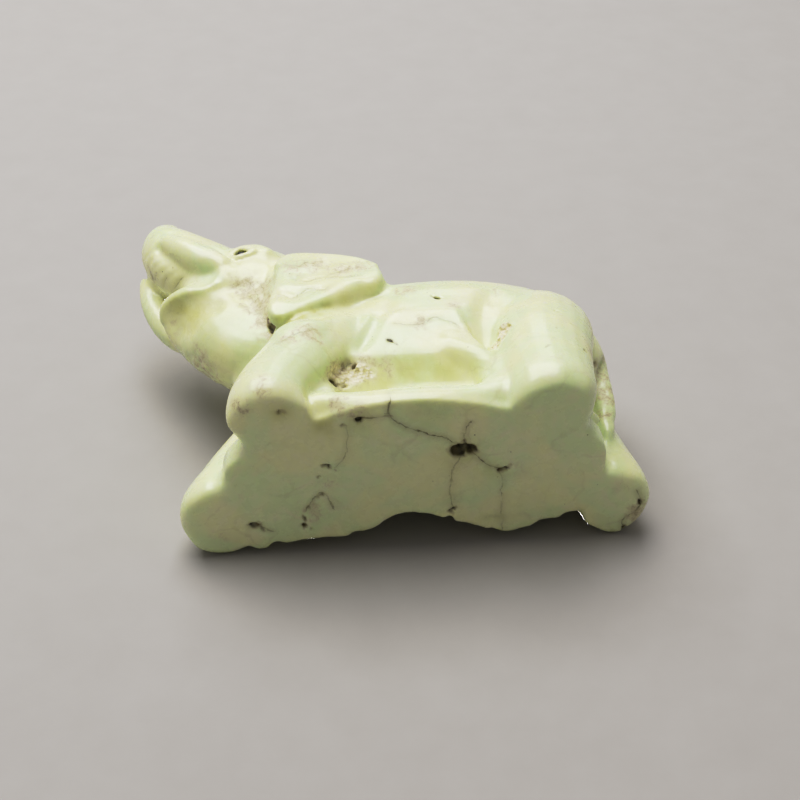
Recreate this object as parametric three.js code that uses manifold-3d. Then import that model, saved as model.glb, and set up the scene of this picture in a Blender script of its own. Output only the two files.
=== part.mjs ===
// A carved stone elephant on its plinth, with two black bead eyes set in blind sockets.
// Millimetres. +Z is up and the sole of the plinth lies on Z = 0, with the origin on the sole.
// The head points to -X, the elephant's left side to -Y. The head is turned to its left, and the
// trunk is raised between the tusks. Both left feet stand close together, both right feet apart.

import * as THREE from 'three';
import { mergeVertices } from 'three/addons/utils/BufferGeometryUtils.js';
import Module from 'manifold-3d';

const wasm = await Module();
wasm.setup();

// Driving dimensions.
const PLINTH_THICKNESS = 3.7;
const PLINTH_EDGE_ROUND = 0.5;
const BODY_HALF_WIDTH = 9.5;
const BODY_HALF_HEIGHT = 10.3;
const BODY_CENTRE_HEIGHT = 20;
const WEB_HALF_WIDTH = 5.6;
const EAR_THICKNESS = 1.8;
const EYE_BEAD_RADIUS = 0.85;
const BEAD_DEPTH = 1.3;
const CEMENT_INNER_RADIUS = 0.93;
const CEMENT_OUTER_RADIUS = 1.22;
const CEMENT_TOP = -0.15;
const CEMENT_GAP = 0.1;
const SOCKET_RADIUS = 1.32;
const SOCKET_DEPTH = 1.7;
const SOCKET_REACH = 3;
const EYE_SEGMENTS = 16;

const STONE_COLOUR = 0xd5dba6;
const BEAD_COLOUR = 0x0b0b0c;
const CEMENT_COLOUR = 0x6e6850;

// ---- Geometry helpers ----

// Turns a closed three.js geometry into a manifold solid.
function solid(geometry) {
  const bare = geometry.index ? geometry.toNonIndexed() : geometry.clone();
  bare.deleteAttribute('normal');
  bare.deleteAttribute('uv');
  const merged = mergeVertices(bare, 1e-4);
  return new wasm.Manifold(new wasm.Mesh({
    numProp: 3,
    vertProperties: new Float32Array(merged.attributes.position.array),
    triVerts: new Uint32Array(merged.index.array),
  }));
}

// Turns a manifold solid back into a three.js geometry.
function geometryOf(manifold) {
  const mesh = manifold.getMesh();
  const geometry = new THREE.BufferGeometry();
  const positions = new Float32Array(mesh.vertProperties);
  geometry.setAttribute('position', new THREE.BufferAttribute(positions, 3));
  geometry.setIndex(new THREE.BufferAttribute(new Uint32Array(mesh.triVerts), 1));
  geometry.computeVertexNormals();
  return geometry;
}

// Moves every vertex of a geometry with place(vertex), in place.
function reshape(geometry, place) {
  const positions = geometry.attributes.position;
  const vertex = new THREE.Vector3();
  for (let i = 0; i < positions.count; i += 1) {
    vertex.fromBufferAttribute(positions, i);
    place(vertex);
    positions.setXYZ(i, vertex.x, vertex.y, vertex.z);
  }
  return geometry;
}

// An ellipsoid with its half-axes along X, Y and Z, turned by yaw about Z.
function ellipsoid(centre, radii, yaw = 0, sides = 28, rings = 18) {
  const shape = new THREE.SphereGeometry(1, sides, rings);
  shape.rotateX(Math.PI / 2);
  shape.scale(...radii);
  shape.rotateZ(yaw);
  shape.translate(...centre);
  return solid(shape);
}

// A limb: oval rings strung along a smooth curve, with domed ends. Each station gives the ring's
// centre, its half-width across (towards the across direction) and its half-depth.
function limb(stations, { sides = 20, rings = 16, across = [0, 1, 0], dome = 0.45 } = {}) {
  const centres = stations.map(({ at }) => new THREE.Vector3(...at));
  const sizes = stations.map(({ wide, deep }) => new THREE.Vector3(wide, deep, 0));
  const path = new THREE.CatmullRomCurve3(centres);
  const size = new THREE.CatmullRomCurve3(sizes);
  const acrossAxis = new THREE.Vector3(...across);
  const shape = new THREE.SphereGeometry(1, sides, rings);
  return solid(reshape(shape, (vertex) => {
    const ringRadius = Math.hypot(vertex.x, vertex.z);
    const polar = Math.atan2(ringRadius, vertex.y) / Math.PI;
    const fullness = Math.sin(Math.PI * polar) ** dome;
    const unitX = ringRadius > 1e-6 ? vertex.x / ringRadius : 0;
    const unitZ = ringRadius > 1e-6 ? vertex.z / ringRadius : 0;
    const along = path.getTangent(polar);
    const wideAxis = acrossAxis.clone().addScaledVector(along, -acrossAxis.dot(along)).normalize();
    const deepAxis = along.clone().cross(wideAxis);
    const { x: wide, y: deep } = size.getPoint(polar);
    vertex.copy(path.getPoint(polar));
    vertex.addScaledVector(wideAxis, unitX * fullness * wide);
    vertex.addScaledVector(deepAxis, unitZ * fullness * deep);
  }));
}

// A flat lobe with a smooth outline in X and Z. offset(x, z) gives its middle surface's Y.
function petal(outline, thickness, offset) {
  const points = outline.map(([x, z]) => new THREE.Vector3(x, 0, z));
  const rim = new THREE.CatmullRomCurve3(points, true);
  const middle = points.reduce((sum, point) => sum.add(point), new THREE.Vector3());
  middle.divideScalar(points.length);
  const shape = new THREE.SphereGeometry(1, 30, 10);
  shape.rotateX(Math.PI / 2);
  shape.rotateX(Math.PI / 2);
  return solid(reshape(shape, (vertex) => {
    const turn = (Math.atan2(vertex.z, vertex.x) / (2 * Math.PI) + 1) % 1;
    const reach = Math.hypot(vertex.x, vertex.z);
    const height = vertex.y * thickness / 2;
    vertex.copy(middle).lerp(rim.getPoint(turn), reach);
    vertex.y = offset(vertex.x, vertex.z) + height;
  }));
}

// ---- Plinth and legs ----

function plinth() {
  const outline = [
    [-9.6, -6.8], [-5, -8.2], [2, -9], [10, -7.8], [20.6, -4], [23.2, 0.6], [20.6, 7.8], [16, 9.4],
    [11.5, 10.1], [7.2, 8.4], [3.5, 7.1], [-0.3, 7.0], [-4, 9.4], [-10, 9.7], [-17, 10.6], [-19.6, 1.6],
    [-17.4, -3],
  ];
  const edge = new THREE.SplineCurve(outline.concat([outline[0]]).map(([x, y]) => new THREE.Vector2(x, y)));
  const shape = new THREE.Shape(edge.getPoints(60));
  const slab = new THREE.ExtrudeGeometry(shape, {
    depth: PLINTH_THICKNESS - PLINTH_EDGE_ROUND,
    steps: 1,
    bevelEnabled: true,
    bevelThickness: PLINTH_EDGE_ROUND,
    bevelSize: PLINTH_EDGE_ROUND,
    bevelOffset: -PLINTH_EDGE_ROUND,
    bevelSegments: 2,
  });
  return solid(slab);
}

// A leg is a limb whose lower end runs on below the sole, where it is cut flat.
const leg = (stations) => limb(stations, { dome: 0.12 });

const frontLeftLeg = () => leg([
  { at: [-14.3, -7.3, -5], wide: 4.5, deep: 5.2 },
  { at: [-14.3, -7.3, 1], wide: 4.5, deep: 5.0 },
  { at: [-13.5, -7.1, 5], wide: 4.3, deep: 4.5 },
  { at: [-9.8, -6.6, 11.5], wide: 4.4, deep: 5.0 },
  { at: [-8.0, -5.6, 18], wide: 4.6, deep: 5.6 },
  { at: [-7.0, -4.5, 24], wide: 4.0, deep: 5.0 },
]);

const frontRightLeg = () => leg([
  { at: [-20.2, 6.6, -5], wide: 5.2, deep: 5.3 },
  { at: [-20.1, 6.6, 1], wide: 5.1, deep: 5.2 },
  { at: [-18.6, 6.5, 5], wide: 4.6, deep: 4.5 },
  { at: [-14.5, 6.2, 11.5], wide: 4.5, deep: 5.0 },
  { at: [-9.5, 5.6, 18], wide: 4.6, deep: 5.8 },
  { at: [-7.0, 4.5, 24], wide: 4.0, deep: 5.0 },
]);

const rearLeftLeg = () => leg([
  { at: [17.1, -7.2, -5], wide: 4.4, deep: 5.2 },
  { at: [17.1, -7.2, 1], wide: 4.5, deep: 5.3 },
  { at: [17.0, -6.9, 5], wide: 4.5, deep: 5.3 },
  { at: [17.2, -6.2, 12], wide: 4.8, deep: 6.0 },
  { at: [18.0, -5.0, 18], wide: 5.0, deep: 6.6 },
  { at: [18.0, -4.0, 24], wide: 4.2, deep: 5.5 },
]);

const rearRightLeg = () => leg([
  { at: [25.0, 6.9, -5], wide: 4.9, deep: 4.4 },
  { at: [24.9, 6.9, 1], wide: 4.8, deep: 4.3 },
  { at: [23.8, 6.6, 5], wide: 4.5, deep: 4.2 },
  { at: [21.2, 6.0, 12], wide: 4.8, deep: 5.2 },
  { at: [19.2, 5.0, 18], wide: 5.0, deep: 6.2 },
  { at: [18.0, 4.0, 24], wide: 4.2, deep: 5.5 },
]);

// ---- Body ----

const torso = () => limb([
  { at: [-18.4, 0.4, 17], wide: 5, deep: 5.5 },
  { at: [-13, 0, 19.5], wide: 7.6, deep: 8.4 },
  { at: [-6, 0, 20.4], wide: 9.0, deep: 9.8 },
  { at: [2, 0, BODY_CENTRE_HEIGHT], wide: BODY_HALF_WIDTH, deep: BODY_HALF_HEIGHT - 0.2 },
  { at: [10, 0, BODY_CENTRE_HEIGHT], wide: BODY_HALF_WIDTH, deep: BODY_HALF_HEIGHT },
  { at: [17.5, 0, 19.4], wide: 9.2, deep: 10.2 },
  { at: [22.2, 0, 18], wide: 7.8, deep: 8.8 },
  { at: [25.9, 0, 16], wide: 5, deep: 6 },
], { sides: 36, rings: 26 });

const web = () => limb([
  { at: [-15, 0, 7], wide: WEB_HALF_WIDTH, deep: 7 },
  { at: [4, 0, 7.5], wide: WEB_HALF_WIDTH, deep: 8 },
  { at: [24, 0, 7], wide: WEB_HALF_WIDTH, deep: 7 },
], { sides: 24, rings: 10 });

const tail = () => limb([
  { at: [22.8, 0.4, 25.5], wide: 1.6, deep: 1.4 },
  { at: [24.8, 0.8, 19], wide: 1.6, deep: 1.6 },
  { at: [25.0, 1.4, 13], wide: 1.5, deep: 1.5 },
  { at: [24.4, 2.0, 5], wide: 1.8, deep: 1.6 },
], { sides: 12, rings: 14 });

// ---- Head ----

const HEAD_YAW = 0.38;
const ACROSS_HEAD = [-Math.sin(HEAD_YAW), Math.cos(HEAD_YAW), 0];
const ACROSS_JAW = [-Math.sin(HEAD_YAW), Math.cos(HEAD_YAW), -0.3];

const neck = () => limb([
  { at: [-3, 0, 21.5], wide: 7.6, deep: 8.2 },
  { at: [-9.5, -0.2, 24.6], wide: 7.8, deep: 8.6 },
  { at: [-14.0, -1.1, 28.5], wide: 6.8, deep: 7.8 },
  { at: [-17.2, -1.9, 32.6], wide: 5.2, deep: 5.4 },
], { sides: 26, rings: 14 });

const cranium = () => ellipsoid([-14.6, -1.6, 32.7], [7.2, 6.3, 7.2], HEAD_YAW, 28, 18);

const muzzle = () => ellipsoid([-19, -2.4, 31.4], [5.6, 5.6, 4.8], HEAD_YAW, 26, 16);

const trunk = () => limb([
  { at: [-13, -1.4, 33.4], wide: 5, deep: 5.2 },
  { at: [-18.6, -2.9, 34.8], wide: 4.9, deep: 5.4 },
  { at: [-23, -3.7, 37.2], wide: 4.5, deep: 4.7 },
  { at: [-26.0, -3.7, 40.6], wide: 4.2, deep: 3.6 },
  { at: [-26.9, -3.7, 43.6], wide: 3.7, deep: 3.0 },
  { at: [-25.3, -3.5, 46.8], wide: 3.3, deep: 2.3 },
], { sides: 22, rings: 24, across: ACROSS_HEAD, dome: 0.32 });

const jaw = () => limb([
  { at: [-26.9, -3.7, 30.4], wide: 3.6, deep: 0.9 },
  { at: [-24.8, -3.2, 29.0], wide: 4.7, deep: 1.7 },
  { at: [-21.6, -2.4, 26.9], wide: 5.2, deep: 3.3 },
  { at: [-17.8, -1.5, 24.0], wide: 5.6, deep: 5.0 },
  { at: [-13.5, -0.6, 21.4], wide: 6.4, deep: 6 },
  { at: [-8, 0, 20], wide: 6.6, deep: 6 },
], { sides: 22, rings: 16, across: ACROSS_JAW });

const leftTusk = () => limb([
  { at: [-17.6, -6.0, 29.8], wide: 1.9, deep: 1.9 },
  { at: [-21.0, -7.1, 33.0], wide: 1.8, deep: 1.8 },
  { at: [-24.0, -7.3, 36.8], wide: 1.6, deep: 1.6 },
  { at: [-26.6, -6.8, 41.4], wide: 1.2, deep: 1.2 },
], { sides: 12, rings: 12, across: ACROSS_HEAD });

const rightTusk = () => limb([
  { at: [-20.6, 1.9, 27.2], wide: 1.9, deep: 1.9 },
  { at: [-25.0, 2.3, 31.2], wide: 2.0, deep: 2.0 },
  { at: [-28.2, 1.2, 36.2], wide: 1.7, deep: 1.7 },
  { at: [-30.0, -0.4, 42.2], wide: 1.2, deep: 1.2 },
], { sides: 12, rings: 12, across: ACROSS_HEAD });

// Both ears hang from the side of the head and lie back over the shoulders.
const EAR_OUTLINE = [
  [0.2, 26.4], [-1.6, 30.0], [-6, 31.6], [-10.3, 32.6], [-13.2, 30.8], [-13.6, 24.4], [-12.2, 18.9],
  [-7, 20.2], [-2.4, 23.2],
];
const RIGHT_EAR_FORWARD = 1.8;
const earOffset = (x, z) => 8.4 + 0.09 * (x + 6) - 0.1 * Math.max(z - 28, 0);
const leftEar = () => petal(EAR_OUTLINE, EAR_THICKNESS, (x, z) => -earOffset(x, z));
const rightEar = () => petal(
  EAR_OUTLINE.map(([x, z]) => [x - RIGHT_EAR_FORWARD, z]),
  EAR_THICKNESS,
  (x, z) => earOffset(x, z) - 0.6,
);

// ---- Eyes ----

// at is a point on the stone's surface, out the direction that the eye looks.
const EYES = {
  left_eye: { at: [-16.9, -7.6, 34.2], out: [-0.35, -0.93, 0.1] },
  right_eye: { at: [-20.3, 1.9, 34.2], out: [-0.8, 0.6, 0.1] },
};

// Turns a geometry made along +Y so that +Y points out of the eye, and moves it to the eye.
function atEye(geometry, { at, out }) {
  const turn = new THREE.Quaternion();
  turn.setFromUnitVectors(new THREE.Vector3(0, 1, 0), new THREE.Vector3(...out).normalize());
  geometry.applyQuaternion(turn);
  geometry.translate(...at);
  return geometry;
}

function turned(profile, eye) {
  const points = profile.map(([radius, height]) => new THREE.Vector2(radius, height));
  return solid(atEye(new THREE.LatheGeometry(points, EYE_SEGMENTS), eye));
}

// The blind socket that is cut into the head.
const socket = (eye) => turned([
  [0, -SOCKET_DEPTH], [SOCKET_RADIUS * 0.75, -SOCKET_DEPTH * 0.85], [SOCKET_RADIUS, -SOCKET_DEPTH * 0.4],
  [SOCKET_RADIUS, SOCKET_REACH], [0, SOCKET_REACH],
], eye);

// The cup of set cement that holds the bead.
function cement(eye) {
  const wall = (radius, floor) => [
    [0, floor], [radius * 0.6, floor * 0.86], [radius * 0.92, floor * 0.5], [radius, CEMENT_TOP],
  ];
  const outside = wall(CEMENT_OUTER_RADIUS, -SOCKET_DEPTH + CEMENT_GAP);
  const inside = wall(CEMENT_INNER_RADIUS, -BEAD_DEPTH - CEMENT_GAP);
  return turned([...outside, ...inside.reverse()], eye);
}

function bead(eye) {
  const shape = new THREE.SphereGeometry(EYE_BEAD_RADIUS, EYE_SEGMENTS, 12);
  shape.translate(0, EYE_BEAD_RADIUS - BEAD_DEPTH, 0);
  return solid(atEye(shape, eye));
}

// ---- Assembly ----

const pieces = [
  torso(), web(), plinth(), frontLeftLeg(), frontRightLeg(), rearLeftLeg(), rearRightLeg(), tail(),
  neck(), cranium(), muzzle(), trunk(), jaw(), leftTusk(), rightTusk(), leftEar(), rightEar(),
];
const belowSole = new THREE.BoxGeometry(200, 200, 20);
belowSole.translate(0, 0, -10);
const cuts = [solid(belowSole), ...Object.values(EYES).map(socket)];
const uncut = pieces.reduce((whole, piece) => whole.add(piece));
const carving = cuts.reduce((whole, cut) => whole.subtract(cut), uncut);

const materials = {
  stone: { color: STONE_COLOUR, roughness: 0.3 },
  bead: { color: BEAD_COLOUR, roughness: 0.08 },
  cement: { color: CEMENT_COLOUR, roughness: 0.7 },
};
const group = new THREE.Group();

function addNode(name, manifold, look) {
  const material = new THREE.MeshStandardMaterial({ ...materials[look], metalness: 0 });
  const mesh = new THREE.Mesh(geometryOf(manifold), material);
  mesh.name = name;
  group.add(mesh);
}

addNode('stone_carving', carving, 'stone');
for (const [name, eye] of Object.entries(EYES)) {
  addNode(name, bead(eye), 'bead');
  addNode(`${name}_cement`, cement(eye), 'cement');
}

export default group;
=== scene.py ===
import math

import bmesh
import bpy
import numpy as np
import openvdb as vdb
from mathutils import Matrix, Vector


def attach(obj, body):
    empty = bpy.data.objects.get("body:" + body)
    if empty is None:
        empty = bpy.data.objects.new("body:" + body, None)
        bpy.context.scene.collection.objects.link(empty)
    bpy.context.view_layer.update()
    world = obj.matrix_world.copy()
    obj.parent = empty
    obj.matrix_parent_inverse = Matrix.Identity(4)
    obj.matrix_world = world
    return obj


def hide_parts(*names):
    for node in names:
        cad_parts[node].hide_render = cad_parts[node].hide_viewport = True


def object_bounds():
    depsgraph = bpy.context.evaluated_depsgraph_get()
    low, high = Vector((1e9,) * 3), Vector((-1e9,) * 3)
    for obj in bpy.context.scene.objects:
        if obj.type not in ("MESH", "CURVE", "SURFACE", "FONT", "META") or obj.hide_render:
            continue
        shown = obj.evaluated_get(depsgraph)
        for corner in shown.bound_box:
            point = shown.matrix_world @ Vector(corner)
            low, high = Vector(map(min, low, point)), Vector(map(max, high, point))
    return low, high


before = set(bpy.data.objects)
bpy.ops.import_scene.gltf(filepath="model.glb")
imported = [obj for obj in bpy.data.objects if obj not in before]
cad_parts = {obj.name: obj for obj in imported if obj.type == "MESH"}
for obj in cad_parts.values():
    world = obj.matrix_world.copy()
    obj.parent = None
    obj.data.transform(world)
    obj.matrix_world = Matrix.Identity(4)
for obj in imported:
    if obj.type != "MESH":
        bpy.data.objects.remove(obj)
cad_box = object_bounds()

MM = 0.001
VOXEL = 0.25          # size of one cell of the clay
BAND_CELLS = 14       # cells of true distance kept on each side of the surface
PAD_CELLS = 3
LAST_POLISH = 0.7     # sigma, in cells, of the blur between the carving and its fine marks


def add_object(name, data):
    """A new object in the scene."""
    obj = bpy.data.objects.new(name, data)
    bpy.context.scene.collection.objects.link(obj)
    return obj


# ---- Noise ----

LATTICE = 32          # random values along each edge of the noise's lattice, which then repeats


def smooth_noise(points, size, seed):
    """Soft noise between -1 and 1 at points (N, 3); size is the width of one lump."""
    lattice = np.random.default_rng(seed).uniform(-1, 1, (LATTICE, LATTICE, LATTICE))
    scaled = points / size
    base = np.floor(scaled).astype(int)
    part = scaled - base
    part = part * part * (3 - 2 * part)
    total = np.zeros(len(points))
    for corner in np.ndindex(2, 2, 2):
        index = (base + corner) % LATTICE
        weight = np.prod(np.where(corner, part, 1 - part), axis=1)
        total += weight * lattice[index[:, 0], index[:, 1], index[:, 2]]
    return total


def fractal(points, size, seed, octaves=3):
    """Several layers of soft noise, each half the size and half the strength of the last."""
    total = np.zeros(len(points))
    for level in range(octaves):
        total += smooth_noise(points, size / 2 ** level, seed + level) / 2 ** level
    return total


def between(values, low, high):
    """0 at low, 1 at high, with a smooth rise."""
    part = np.clip((values - low) / (high - low), 0, 1)
    return part * part * (3 - 2 * part)


# ---- Clay: a block of signed distances ----

def blurred(values, width):
    """A Gaussian blur of the block; width is the Gaussian's sigma in cells."""
    reach = int(math.ceil(2.5 * width))
    offsets = np.arange(-reach, reach + 1)
    kernel = np.exp(-0.5 * (offsets / width) ** 2)
    kernel /= kernel.sum()
    for axis in range(3):
        padding = [(reach, reach) if n == axis else (0, 0) for n in range(3)]
        padded = np.pad(values, padding, mode="edge")
        length = values.shape[axis]
        values = sum(
            weight * np.take(padded, range(step, step + length), axis=axis)
            for step, weight in enumerate(kernel)
        )
    return values.astype(np.float32)


def curve_points(points, step=0.2):
    """Points along a smooth curve through the given points, about step apart."""
    control = np.array(points, float)
    ends = np.vstack([2 * control[0] - control[1], control, 2 * control[-1] - control[-2]])
    out = []
    for a, b, c, d in zip(ends, ends[1:], ends[2:], ends[3:]):
        count = max(2, int(np.linalg.norm((c - b)[:3]) / step))
        for t in np.arange(count)[:, None] / count:
            out.append(0.5 * (2 * b + (c - a) * t + (2 * a - 5 * b + 4 * c - d) * t ** 2
                              + (3 * b - a - 3 * c + d) * t ** 3)[None])
    return np.vstack(out + [control[-1:]])


def cell_points(axes, shape):
    """The middles of a window's cells, as points (N, 3)."""
    return np.stack([np.broadcast_to(axis, shape) for axis in axes], -1).reshape(-1, 3)


def turned_axes(along, facing):
    """Three unit axes: along, the one across both, and facing squared up to along."""
    first = Vector(along).normalized()
    third = Vector(facing)
    third = (third - first * third.dot(first)).normalized()
    return first, third.cross(first), third


class Clay:
    """The stone as a block of signed distances in millimetres, negative inside."""

    def __init__(self, cad_object):
        mesh = cad_object.data
        mesh.calc_loop_triangles()
        points = np.array([v.co for v in mesh.vertices], np.float32) / MM
        triangles = np.array([t.vertices for t in mesh.loop_triangles], np.uint32)
        transform = vdb.createLinearTransform(voxelSize=VOXEL)
        grid = vdb.FloatGrid.createLevelSetFromPolygons(
            points, triangles=triangles, transform=transform, halfWidth=BAND_CELLS)
        low = np.floor(points.min(0) / VOXEL).astype(int) - PAD_CELLS
        high = np.ceil(points.max(0) / VOXEL).astype(int) + PAD_CELLS
        self.first = low
        self.values = np.zeros(tuple(high - low + 1), np.float32)
        grid.copyToArray(self.values, ijk=tuple(int(n) for n in low))
        self.low = points.min(0)
        self.high = points.max(0)

    def window(self, low, high):
        """The slices of a box, and its cells' X, Y and Z, shaped to broadcast."""
        first = np.floor(np.array(low) / VOXEL).astype(int) - self.first
        last = np.ceil(np.array(high) / VOXEL).astype(int) - self.first + 1
        first = np.clip(first, 0, np.array(self.values.shape))
        last = np.clip(last, 0, np.array(self.values.shape))
        slices = tuple(slice(a, b) for a, b in zip(first, last))
        axes = [(np.arange(a, b) + n) * VOXEL for a, b, n in zip(first, last, self.first)]
        return slices, np.meshgrid(*axes, indexing="ij", sparse=True)

    def join(self, slices, distance, blend, cut=False):
        """Adds a shape to the clay, or takes it away, with a joint rounded over about blend."""
        sign = -1 if cut else 1
        old = sign * self.values[slices]
        mix = np.clip(0.5 + 0.5 * (old - distance) / blend, 0, 1)
        self.values[slices] = sign * (old * (1 - mix) + distance * mix - blend * mix * (1 - mix))

    def lump(self, centre, radii, blend, along=(1, 0, 0), facing=(0, 0, 1), cut=False):
        """Adds an ellipsoid, or scoops one out. radii run along, across and facing."""
        reach = max(radii) + 2 * blend
        slices, axes = self.window(np.array(centre) - reach, np.array(centre) + reach)
        offset = [axis - c for axis, c in zip(axes, centre)]
        local = [sum(v * o for v, o in zip(axis, offset)) for axis in turned_axes(along, facing)]
        near = np.sqrt(sum((v / r) ** 2 for v, r in zip(local, radii)))
        steep = np.sqrt(sum((v / r ** 2) ** 2 for v, r in zip(local, radii)))
        self.join(slices, near * (near - 1) / np.maximum(steep, 1e-4), blend, cut)

    def rod(self, stations, blend, cut=False):
        """Adds a round rod through stations (x, y, z, radius), or cuts a channel with it."""
        path = curve_points(stations, step=0.15)
        reach = path[:, 3].max() + 2 * blend
        slices, axes = self.window(path[:, :3].min(0) - reach, path[:, :3].max(0) + reach)
        distance = np.full(self.values[slices].shape, 1e9, np.float32)
        for x, y, z, radius in path:
            away = np.sqrt((axes[0] - x) ** 2 + (axes[1] - y) ** 2 + (axes[2] - z) ** 2) - radius
            np.minimum(distance, away, out=distance)
        self.join(slices, distance, blend, cut)

    def stroke(self, points, width, depth):
        """Presses a groove along a curve, or raises a ridge where depth is negative."""
        path = curve_points(points)
        reach = 2.6 * width
        slices, axes = self.window(path.min(0) - reach, path.max(0) + reach)
        nearest = np.full(self.values[slices].shape, 1e9, np.float32)
        for px, py, pz in path:
            near = (axes[0] - px) ** 2 + (axes[1] - py) ** 2 + (axes[2] - pz) ** 2
            np.minimum(nearest, near, out=nearest)
        self.values[slices] += depth * np.exp(-nearest / width ** 2)

    def block(self, planes, low, high, blend, corner):
        """Adds the convex block inside planes (point, outward normal), its edges rounded by corner."""
        slices, axes = self.window(low, high)
        faces = []
        for point, normal in planes:
            out = Vector(normal).normalized()
            faces.append(sum(out[k] * (axes[k] - point[k]) for k in range(3)))
        distance = faces[0]
        for away in faces[1:]:
            rise = np.clip(0.5 + 0.5 * (away - distance) / corner, 0, 1)
            distance = distance * (1 - rise) + away * rise + corner * rise * (1 - rise)
        self.join(slices, distance, blend)

    def lobe(self, outline, middle, half_thickness, edge, blend):
        """Adds a flat lobe with an outline in X and Z; middle(x, z) is its middle surface's Y."""
        rim = curve_points(list(outline) + [outline[0]], step=0.5)
        margin = 3
        half_width = 12
        low = (rim[:, 0].min() - margin, -half_width, rim[:, 1].min() - margin)
        high = (rim[:, 0].max() + margin, half_width, rim[:, 1].max() + margin)
        slices, (x, y, z) = self.window(low, high)
        nearest = np.full(np.broadcast_shapes(x.shape, z.shape), 1e9)
        inside = np.zeros(nearest.shape, bool)
        for (ax, az), (bx, bz) in zip(rim, rim[1:]):
            dx, dz = bx - ax, bz - az
            t = np.clip(((x - ax) * dx + (z - az) * dz) / (dx * dx + dz * dz + 1e-9), 0, 1)
            nearest = np.minimum(nearest, (x - ax - dx * t) ** 2 + (z - az - dz * t) ** 2)
            rise = dz if abs(dz) > 1e-9 else 1e-9
            inside ^= ((az > z) != (bz > z)) & (x < dx * (z - az) / rise + ax)
        across = np.where(inside, -1, 1) * np.sqrt(nearest) + edge
        through = np.abs(y - middle(x, z)) - half_thickness + edge
        outside = np.hypot(np.maximum(across, 0), np.maximum(through, 0))
        distance = outside + np.minimum(np.maximum(across, through), 0) - edge
        self.join(slices, distance, blend)

    def soften(self, fillet, polish):
        """Fills inner corners over about fillet millimetres, then rounds everything by polish."""
        self.values = np.minimum(self.values, blurred(self.values, fillet / VOXEL))
        self.values = blurred(self.values, polish / VOXEL)

    def round_over(self, centre, reach, width):
        """Rounds the outer edges near a place, fading out over reach."""
        centre = np.array(centre, float)
        slices, axes = self.window(centre - 2.2 * reach, centre + 2.2 * reach)
        piece = self.values[slices]
        softer = np.maximum(piece, blurred(piece, width / VOXEL))
        near = sum((axis - c) ** 2 for axis, c in zip(axes, centre))
        self.values[slices] += (softer - piece) * np.exp(-(near / reach ** 2) ** 2)

    def roughen(self, centre, radii, size, height, seed, octaves=2):
        """Breaks up the surface near a place with noise."""
        radii = np.array(radii, float)
        slices, axes = self.window(np.array(centre) - 1.8 * radii, np.array(centre) + 1.8 * radii)
        near = sum(((axis - c) / r) ** 2 for axis, c, r in zip(axes, centre, radii))
        bumps = fractal(cell_points(axes, near.shape), size, seed, octaves).reshape(near.shape)
        self.values[slices] += height * bumps * np.exp(-near ** 2)

    def keep_inside(self):
        """Cuts the clay back to the CAD solid's box."""
        beyond = 9        # more than the padding, so that the window is the whole block
        _, axes = self.window(self.low - beyond, self.high + beyond)
        for axis, lowest, highest in zip(axes, self.low, self.high):
            np.maximum(self.values, lowest - axis, out=self.values)
            np.maximum(self.values, axis - highest, out=self.values)

    def mesh(self):
        """Vertices in millimetres and four-sided faces of the surface."""
        grid = vdb.FloatGrid(BAND_CELLS * VOXEL)
        grid.transform = vdb.createLinearTransform(voxelSize=VOXEL)
        grid.copyFromArray(self.values, ijk=tuple(int(n) for n in self.first))
        return grid.convertToQuads(isovalue=0)


# ---- Sculpting. X runs from head to tail, -Y is the elephant's left, Z = 0 is the sole ----

HEAD_YAW = math.radians(21.8)
EAR_LOBE = [
    (-0.4, 27.2), (-0.2, 24.6), (-1.2, 22.6), (-3, 22.3), (-5.2, 20.8), (-8.2, 18.7), (-11, 17.3),
    (-12.8, 17), (-13.8, 18.4), (-13.7, 21), (-12.9, 24.6), (-12.9, 29), (-11, 31.6),
    (-6.5, 31), (-2.4, 29.2),
]
RIGHT_EAR_FORWARD = 1.8


def mirrored(points, side):
    """The same points on the other side of the body where side is 1."""
    return [(x, -side * y, z, *rest) for x, y, z, *rest in points]


def sculpt_belly(clay):
    """Lower ridges along the belly, each over a shallow valley that runs between the legs."""
    for side in (-1, 1):
        planes = [
            ((0, side * 9.1, 16), (0, side * 0.985, -0.17)),
            ((0, side * 8.8, 11.6), (0, side * 0.82, -0.57)),
            ((-4.4, side * 8, 12), (-0.9, side * 0.2, 0.3)),
            ((9.8, 0, 12), (0.9, 0, 0.3)),
            ((0, 0, 17.5), (0, 0, 1)),
            ((0, side * 1.5, 12), (0, -side, 0)),
        ]
        low = (-8, -11 if side < 0 else 0, 4)
        high = (15, 0 if side < 0 else 11, 20)
        clay.block(planes, low, high, blend=0.6, corner=0.3)
        # The ridge drops away at its rear end, into the thigh.
        clay.rod(mirrored([(6.8, -7.5, 12, 1), (9.2, -7.1, 10.4, 1.2), (12, -6.8, 8.2, 1.4)],
                          side), blend=1.5)
        # Creases behind the shoulders and in front of the thighs.
        clay.stroke(mirrored([(0.6, -9.6, 21.4), (-0.8, -9.4, 18), (-2.2, -8.8, 14.8),
                              (-3.6, -7.6, 12)], side), 0.9, 0.8)
        clay.stroke(mirrored([(12.4, -9.6, 20.6), (11.2, -9.2, 17.6), (10.8, -8.6, 14.8),
                              (11.8, -8, 12.2)], side), 1.1, 0.6)


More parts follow.
